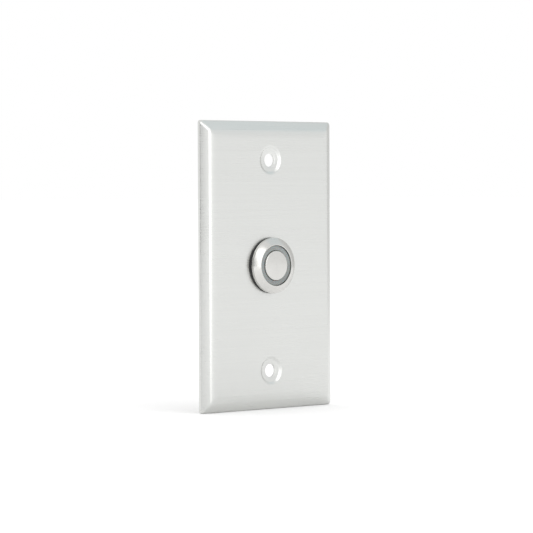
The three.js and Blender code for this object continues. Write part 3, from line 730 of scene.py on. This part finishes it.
def model_head(head):
    """The head and its barrel in one, with the thread wound over the barrel as ridges."""
    low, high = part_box("bezel_housing")
    base_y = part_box("head_gasket")[0].y
    shoulder_y = low.y + head.lip_depth
    chamfer = head.crest_radius - head.root_radius
    thread_end_y = high.y - chamfer
    piece = turned("turned_head", [
        (head.opening, low.y), (head.opening + head.lip, low.y), (high.x, low.y + head.bevel_height),
        (high.x, base_y), (head.root_radius, base_y), (head.root_radius, thread_end_y),
        (head.root_radius - chamfer / 2, high.y), (head.bore, high.y), (head.bore, shoulder_y),
        (head.opening, shoulder_y),
    ], FINE_STEPS)
    soften(piece, head.edge)
    section = chamfer * THREAD_SECTION
    thread_start_y = base_y + head.pitch
    turns = int((thread_end_y - thread_start_y) / head.pitch)
    thread = coil("thread", head.crest_radius - section, THREAD_CORNERS, section, turns, thread_start_y,
                  thread_start_y + turns * head.pitch, dead_turns=0, run_out=head.root_radius - section / 2)
    return join(piece, thread)


def model_gasket(fastening):
    low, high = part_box("head_gasket")
    bore = fastening.gasket_bore
    outline = [(bore, low.y), (high.x, low.y), (high.x, high.y), (bore, high.y)]
    piece = turned("face_gasket", outline, FINE_STEPS)
    return soften(piece, fastening.gasket_edge)


def model_washer(fastening):
    """A flat ring whose teeth are drawn out of every fourth edge and twisted."""
    low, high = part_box("lock_washer")
    root = high.x - fastening.tooth
    corners = 4 * fastening.teeth

    def corner_of(vertex):
        return round(atan2(vertex.co.z, vertex.co.x) / (2 * pi) * corners) % 4

    deselect()
    bpy.ops.mesh.primitive_circle_add(vertices=corners, radius=root, fill_type="NOTHING",
                                      rotation=(pi / 2, 0, 0))
    piece = start("toothed_washer")
    bpy.ops.mesh.select_all(action="SELECT")
    draw_in(root, fastening.washer_bore, 0, (0, 0, 0))
    pick("EDGE", lambda edge: edge.is_boundary and edge.verts[0].co.length > root - MERGE
         and {corner_of(vertex) for vertex in edge.verts} == {0, 1})
    draw_in(root, high.x, 0, (0, 0, 0))
    for corner, bend in ((0, -fastening.tooth_twist), (1, fastening.tooth_twist)):
        pick("VERT", lambda vertex: vertex.co.length > high.x - fastening.tooth / 2
             and corner_of(vertex) == corner)
        bpy.ops.transform.translate(value=(0, bend, 0))
    close_up()
    work(piece, "SOLIDIFY", thickness=fastening.washer_sheet, offset=0, use_even_offset=True)
    piece.location.y = (low.y + high.y) / 2
    return soften(piece, fastening.nut_edge, 2)


def model_nut(fastening):
    """Where a hexagonal bar and a turned blank meet, as on a nut chamfered on a lathe."""
    low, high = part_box("hex_nut")
    bore, countersink = fastening.nut_bore, fastening.countersink
    chamfer = (high.z - high.x) * tan(NUT_CHAMFER)
    blank = turned("nut_blank", [
        (bore, low.y + countersink), (bore + countersink, low.y), (high.x, low.y), (high.z, low.y + chamfer),
        (high.z, high.y - chamfer), (high.x, high.y), (bore + countersink, high.y),
        (bore, high.y - countersink),
    ])
    deselect()
    bpy.ops.mesh.primitive_cylinder_add(vertices=6, radius=high.z, depth=2 * (high.y - low.y),
                                        location=(0, (low.y + high.y) / 2, 0), rotation=(pi / 2, 0, 0))
    piece = start("barrel_nut")
    work(piece, "BOOLEAN", operation="INTERSECT", object=blank, solver="EXACT")
    bpy.data.objects.remove(blank)
    return soften(piece, fastening.nut_edge, 2)


def model_cap(face):
    low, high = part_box("button_cap")
    web_y = low.y + face.cap_web
    piece = turned("turned_cap", [
        (0, low.y), (high.x, low.y), (high.x, web_y), (face.cap_peg, web_y), (face.cap_peg, high.y),
        (0, high.y),
    ], FINE_STEPS)
    return soften(piece, face.cap_edge, 4)


def model_ring(face):
    low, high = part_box("light_ring")
    web_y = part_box("button_cap")[0].y + face.cap_web
    flange_end_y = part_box("seal_ring")[0].y - face.fit
    flange_y = flange_end_y - face.flange_thickness
    hub_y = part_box("plunger")[0].y
    peg_hole = face.cap_peg + face.fit
    piece = turned("glow_ring", [
        (peg_hole, web_y), (face.ring_inner, web_y), (face.ring_inner, low.y), (face.ring_outer, low.y),
        (face.ring_outer, flange_y), (face.ring_flange, flange_y), (face.ring_flange, flange_end_y),
        (face.guide_outer, flange_end_y), (face.guide_outer, high.y), (face.guide_inner, high.y),
        (face.guide_inner, hub_y), (peg_hole, hub_y),
    ], FINE_STEPS)
    return soften(piece, face.ring_edge)


def model_seal():
    """A round cord, pressed a little flat where it rubs on the bore."""
    low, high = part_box("seal_ring")
    section = (high.y - low.y) / 2
    middle = (high.x - section, (low.y + high.y) / 2)
    flat = high.x - section * SEAL_FLAT
    cord = arc(middle, section, 0, 2 * pi, SMALL_STEPS // 2)[:-1]
    return turned("o_ring", [(min(radius, flat), y) for radius, y in cord])


def model_spring(name, node, wire, turns):
    low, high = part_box(node)
    return coil(name, high.x - wire / 2, SPRING_CORNERS, wire / 2, turns, low.y, high.y, dead_turns=1)


def model_led(node, lens_height):
    """A white body with a lens that stands a little in from its edges."""
    low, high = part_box(node)
    piece = refined(node + "_package", node, 0)
    set_mode("EDIT")
    pick("FACE", lambda face: face.normal.y < FACING_FRONT)
    bpy.ops.transform.translate(value=(0, lens_height, 0))
    bpy.ops.mesh.inset(thickness=lens_height / 2)
    bpy.ops.mesh.extrude_region_move(TRANSFORM_OT_translate={"value": (0, -lens_height, 0)})
    middle = Vector(((low.x + high.x) / 2, low.y, (low.z + high.z) / 2))
    bpy.ops.transform.resize(value=(LENS_SCALE, 1, LENS_SCALE), center_override=middle)
    set_mode("OBJECT")
    return soften(piece, lens_height / 5, 2)


def model_resistor(end_length):
    """A ceramic body with a tinned cap over each end."""
    low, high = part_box("led_resistor")
    piece = refined("chip_resistor", "led_resistor", 0)
    set_mode("EDIT")
    for z in (low.z + end_length, high.z - end_length):
        bpy.ops.mesh.select_all(action="SELECT")
        bpy.ops.mesh.bisect(plane_co=(0, 0, z), plane_no=(0, 0, 1))
    set_mode("OBJECT")
    return soften(piece, end_length / 5, 2)


def paint_part(piece, slot, test):
    """Gives the faces that pass the test a second finish."""
    piece.data.materials.append(finish_of(slot))
    for face in piece.data.polygons:
        if test(face):
            face.material_index = len(piece.data.materials) - 1


def cut_ribs(piece, depth):
    """Sinks every other facet of the outer wall, so that ribs are left between them."""
    low, high = piece.bound_box[0], piece.bound_box[6]
    outer = high[0] - depth
    set_mode("EDIT")

    def is_groove(face):
        middle = face.calc_center_median()
        facet = round(atan2(middle.z, middle.x) / (2 * pi) * RIB_FACETS - 0.5)
        far_out = Vector((middle.x, middle.z)).length > outer
        return abs(face.normal.y) < FACING_OUT and far_out and facet % 2 == 0

    pick("FACE", is_groove)
    bpy.ops.mesh.inset(thickness=depth, depth=-depth, use_individual=True)
    set_mode("OBJECT")
    return piece


def model_resin(rear, cutters):
    """Poured resin that climbs its wall and closes round the terminals."""
    low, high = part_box("potting_seal")
    climb = rear.meniscus
    top_y = high.y - climb
    curve = []
    for angle in map(radians, range(0, 91, MENISCUS_STEP)):
        curve.append((high.x - climb * (1 - cos(angle)) * MENISCUS_SPREAD, high.y - climb * sin(angle)))
    piece = turned("poured_resin", [(0, low.y), (high.x, low.y), *curve, (0, top_y)])
    for cutter in cutters:
        work(piece, "BOOLEAN", operation="DIFFERENCE", object=cutter, solver="MANIFOLD")
    return piece


# Tools of the add-on, one for each piece or group of like pieces

class ModelWallPlate(Operator):
    """Press the brushed plate with its sloping border, its hole and its two dimples"""
    bl_idname = "push_button.wall_plate"
    bl_label = "Wall Plate"

    def execute(self, context):
        complete(model_plate(context.scene.button_plate), "root", "brushed_plate", "wall_plate")
        return {"FINISHED"}


class ModelHead(Operator):
    """Turn the head with its bevel, lip, bore and threaded barrel"""
    bl_idname = "push_button.head"
    bl_label = "Head and Barrel"

    def execute(self, context):
        complete(model_head(context.scene.button_head), "root", "turned_steel", "bezel_housing")
        return {"FINISHED"}


class ModelFastening(Operator):
    """Make the gasket, the toothed washer and the nut that clamp the head to the plate"""
    bl_idname = "push_button.fastening"
    bl_label = "Gasket, Washer and Nut"

    def execute(self, context):
        fastening = context.scene.button_fastening
        complete(model_gasket(fastening), "root", "black_rubber", "head_gasket")
        complete(model_washer(fastening), "root", "zinc_steel", "lock_washer")
        complete(model_nut(fastening), "root", "nickel_plate", "hex_nut")
        return {"FINISHED"}


class ModelCap(Operator):
    """Turn the round cap that is pressed"""
    bl_idname = "push_button.cap"
    bl_label = "Button Cap"

    def execute(self, context):
        complete(model_cap(context.scene.button_face), "button", "turned_steel", "button_cap")
        return {"FINISHED"}


class ModelRing(Operator):
    """Turn the translucent ring with its flange and its light guide"""
    bl_idname = "push_button.light_ring"
    bl_label = "Light Ring"

    def execute(self, context):
        complete(model_ring(context.scene.button_face), "button", "translucent_ring", "light_ring")
        return {"FINISHED"}


class ModelPlunger(Operator):
    """Refine the plunger and its retainer, and make the O-ring between the ring and the bore"""
    bl_idname = "push_button.plunger"
    bl_label = "Plunger and Seal"

    def execute(self, context):
        edge = context.scene.button_rear.moulded_edge / 2
        complete(refined("stem_plunger", "plunger", edge), "button", "white_plastic", "plunger")
        complete(refined("seal_keeper", "seal_retainer", edge), "button", "white_plastic", "seal_retainer")
        complete(model_seal(), "button", "black_rubber", "seal_ring")
        return {"FINISHED"}


class ModelSprings(Operator):
    """Wind the return spring and the two contact springs"""
    bl_idname = "push_button.springs"
    bl_label = "Springs"

    def execute(self, context):
        rear = context.scene.button_rear
        piece = model_spring("wound_return_spring", "return_spring", rear.spring_wire, rear.spring_turns)
        complete(piece, None, "spring_wire", "return_spring")
        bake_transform(piece)
        for side in ("front", "rear"):
            name = "contact_spring_" + side
            piece = model_spring("wound_" + name, name, rear.contact_wire, rear.contact_turns)
            complete(piece, None, "spring_wire", name)
            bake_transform(piece)
        return {"FINISHED"}


class ModelBridge(Operator):
    """Refine the windowed carrier, the contact bridge and its silver contacts"""
    bl_idname = "push_button.bridge"
    bl_label = "Contact Bridge"

    def execute(self, context):
        rear = context.scene.button_rear
        carrier = refined("windowed_carrier", "bridge_carrier", rear.moulded_edge / 2)
        complete(carrier, "button", "white_plastic", "bridge_carrier")
        bridge = refined("rocking_bridge", "contact_bridge", rear.blade_edge)
        complete(bridge, "bridge", "terminal_brass", "contact_bridge")
        for side in ("left", "right"):
            node = "bridge_contact_" + side
            complete(refined("domed_" + node, node, 2 * rear.blade_edge), "bridge", "contact_silver", node)
        return {"FINISHED"}


class ModelTerminals(Operator):
    """Refine the four switch terminals, their fixed contacts and the two lamp terminals"""
    bl_idname = "push_button.terminals"
    bl_label = "Terminals and Contacts"

    def execute(self, context):
        edge = context.scene.button_rear.blade_edge
        for node in TERMINALS:
            complete(refined("stamped_" + node, node, edge), "root", "terminal_brass", node)
        for node in FIXED_CONTACTS:
            complete(refined("domed_" + node, node, edge), "root", "contact_silver", node)
        return {"FINISHED"}


class ModelSwitchBody(Operator):
    """Refine the switch body and its rear base, with grip ribs, and pour the resin"""
    bl_idname = "push_button.switch_body"
    bl_label = "Switch Body, Base and Resin"

    def execute(self, context):
        rear = context.scene.button_rear
        body = refined("moulded_body", "contact_block", rear.moulded_edge)
        complete(body, "root", "black_plastic", "contact_block")
        base = cut_ribs(refined("ribbed_base", "terminal_base", 0), rear.rib)
        complete(soften(base, rear.moulded_edge / 3, 2), "root", "black_plastic", "terminal_base")
        cutters = [bpy.data.objects["stamped_" + node] for node in TERMINALS]
        complete(model_resin(rear, cutters), "root", "resin", "potting_seal")
        return {"FINISHED"}


class ModelLightBoard(Operator):
    """Refine the board with its four LEDs and its resistor"""
    bl_idname = "push_button.light_board"
    bl_label = "Light Board"

    def execute(self, context):
        rear = context.scene.button_rear
        complete(refined("round_board", "led_board", rear.blade_edge), "root", "board_laminate", "led_board")
        for node in LEDS:
            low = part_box(node)[0]
            led = complete(model_led(node, LENS_HEIGHT), "root", "led_body", node)
            paint_part(led, "led_lens", lambda face: face.center.y < low.y + LENS_HEIGHT * LENS_SHARE)
        end_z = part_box("led_resistor")[1].z - RESISTOR_CAP
        resistor = complete(model_resistor(RESISTOR_CAP), "root", "resistor_body", "led_resistor")
        paint_part(resistor, "nickel_plate", lambda face: abs(face.center.z) > end_z)
        return {"FINISHED"}


def add_lamp(name, place, width, height, brightness):
    """A rectangular lamp that faces the button, as bright as so many times the white surroundings."""
    deselect()
    bpy.ops.object.light_add(type="AREA", location=place)
    lamp = bpy.context.active_object
    lamp.name = name
    lamp.rotation_euler = (-Vector(place)).to_track_quat("-Z", "Y").to_euler()
    lamp.data.shape = "RECTANGLE"
    lamp.data.size, lamp.data.size_y = width, height
    lamp.data.energy = brightness * pi * width * height
    lamp.visible_camera = False


def add_card(name, azimuth, elevation, distance, width, height, shade):
    """A card that gives off an even shade and faces the button. Only reflections show it."""
    direction = Vector((sin(azimuth) * cos(elevation), -cos(azimuth) * cos(elevation), sin(elevation)))
    deselect()
    bpy.ops.mesh.primitive_plane_add(size=1, location=direction * distance,
                                     rotation=direction.to_track_quat("Z", "Y").to_euler())
    bpy.context.active_object.scale = (width, height, 1)
    card = start(name)
    set_mode("OBJECT")
    material = bpy.data.materials.new(name)
    material.use_nodes = True
    tree = material.node_tree
    tree.nodes.remove(tree.nodes["Principled BSDF"])
    glow = node(tree, "Emission", {"Color": (*shade, 1)})
    tree.links.new(glow.outputs["Emission"], tree.nodes["Material Output"].inputs["Surface"])
    card.data.materials.append(material)
    card.visible_camera = False
    card.visible_shadow = False
    card.visible_diffuse = False


class BuildStage(Operator):
    """Lay the floor and set the camera, the white surroundings, the lamp and the cards"""
    bl_idname = "push_button.stage"
    bl_label = "Studio"

    def execute(self, context):
        settings = context.scene.button_stage
        deselect()
        bpy.ops.mesh.primitive_plane_add(size=FLOOR_SIZE, location=(0, 0, CAD_BOX[0].z))
        floor = start("floor")
        set_mode("OBJECT")
        floor.data.materials.append(finish_of("studio_floor"))
        world = context.scene.world or bpy.data.worlds.new("surroundings")
        context.scene.world = world
        world.use_nodes = True
        background = world.node_tree.nodes["Background"]
        background.inputs["Color"].default_value = (1, 1, 1, 1)
        rays = node(world.node_tree, "LightPath")
        strength = ranged(world.node_tree, rays.outputs["Is Diffuse Ray"], settings.world_light,
                          settings.floor_light, 0.0, 1.0)
        world.node_tree.links.new(strength, background.inputs["Strength"])
        add_lamp("front_lamp", LAMP_PLACE, LAMP_WIDTH, LAMP_HEIGHT, settings.front_lamp)
        for card in CARDS:
            add_card(*card)
        bpy.ops.object.camera_add(location=settings.camera_place)
        camera = context.active_object
        sight = Vector(settings.camera_aim) - Vector(settings.camera_place)
        aimed = sight.to_track_quat("-Z", "Y").to_matrix() @ Matrix.Rotation(settings.camera_roll, 3, "Z")
        camera.rotation_euler = aimed.to_euler()
        camera.data.lens = settings.lens
        context.scene.camera = camera
        context.scene.view_settings.view_transform = "Standard"
        return {"FINISHED"}


class PushButtonPanel(Panel):
    """Lists the tools that build the push button"""
    bl_idname = "VIEW3D_PT_push_button"
    bl_label = "Push Button"
    bl_space_type = "VIEW_3D"
    bl_region_type = "UI"
    bl_category = "Push Button"

    def draw(self, context):
        for operator in OPERATORS:
            self.layout.operator(operator.bl_idname)
        for attribute, settings in SETTINGS.items():
            box = self.layout.box()
            box.label(text=attribute.replace("_", " ").title())
            for name in settings.__annotations__:
                box.prop(getattr(context.scene, attribute), name)


SETTINGS = {
    "button_plate": PlateSettings,
    "button_head": HeadSettings,
    "button_face": FaceSettings,
    "button_fastening": FasteningSettings,
    "button_rear": RearSettings,
    "button_finish": FinishSettings,
    "button_stage": StageSettings,
}
OPERATORS = (
    ModelWallPlate, ModelHead, ModelFastening, ModelCap, ModelRing, ModelPlunger, ModelSprings, ModelBridge,
    ModelTerminals, ModelSwitchBody, ModelLightBoard, BuildStage,
)


def register():
    for cls in (*SETTINGS.values(), *OPERATORS, PushButtonPanel):
        bpy.utils.register_class(cls)
    for attribute, settings in SETTINGS.items():
        setattr(bpy.types.Scene, attribute, PointerProperty(type=settings))


def unregister():
    for attribute in SETTINGS:
        delattr(bpy.types.Scene, attribute)
    for cls in (PushButtonPanel, *reversed(OPERATORS), *reversed(SETTINGS.values())):
        bpy.utils.unregister_class(cls)


def main():
    register()
    for operator in OPERATORS:
        group, name = operator.bl_idname.split(".")
        getattr(getattr(bpy.ops, group), name)()


if __name__ == "__main__":
    main()
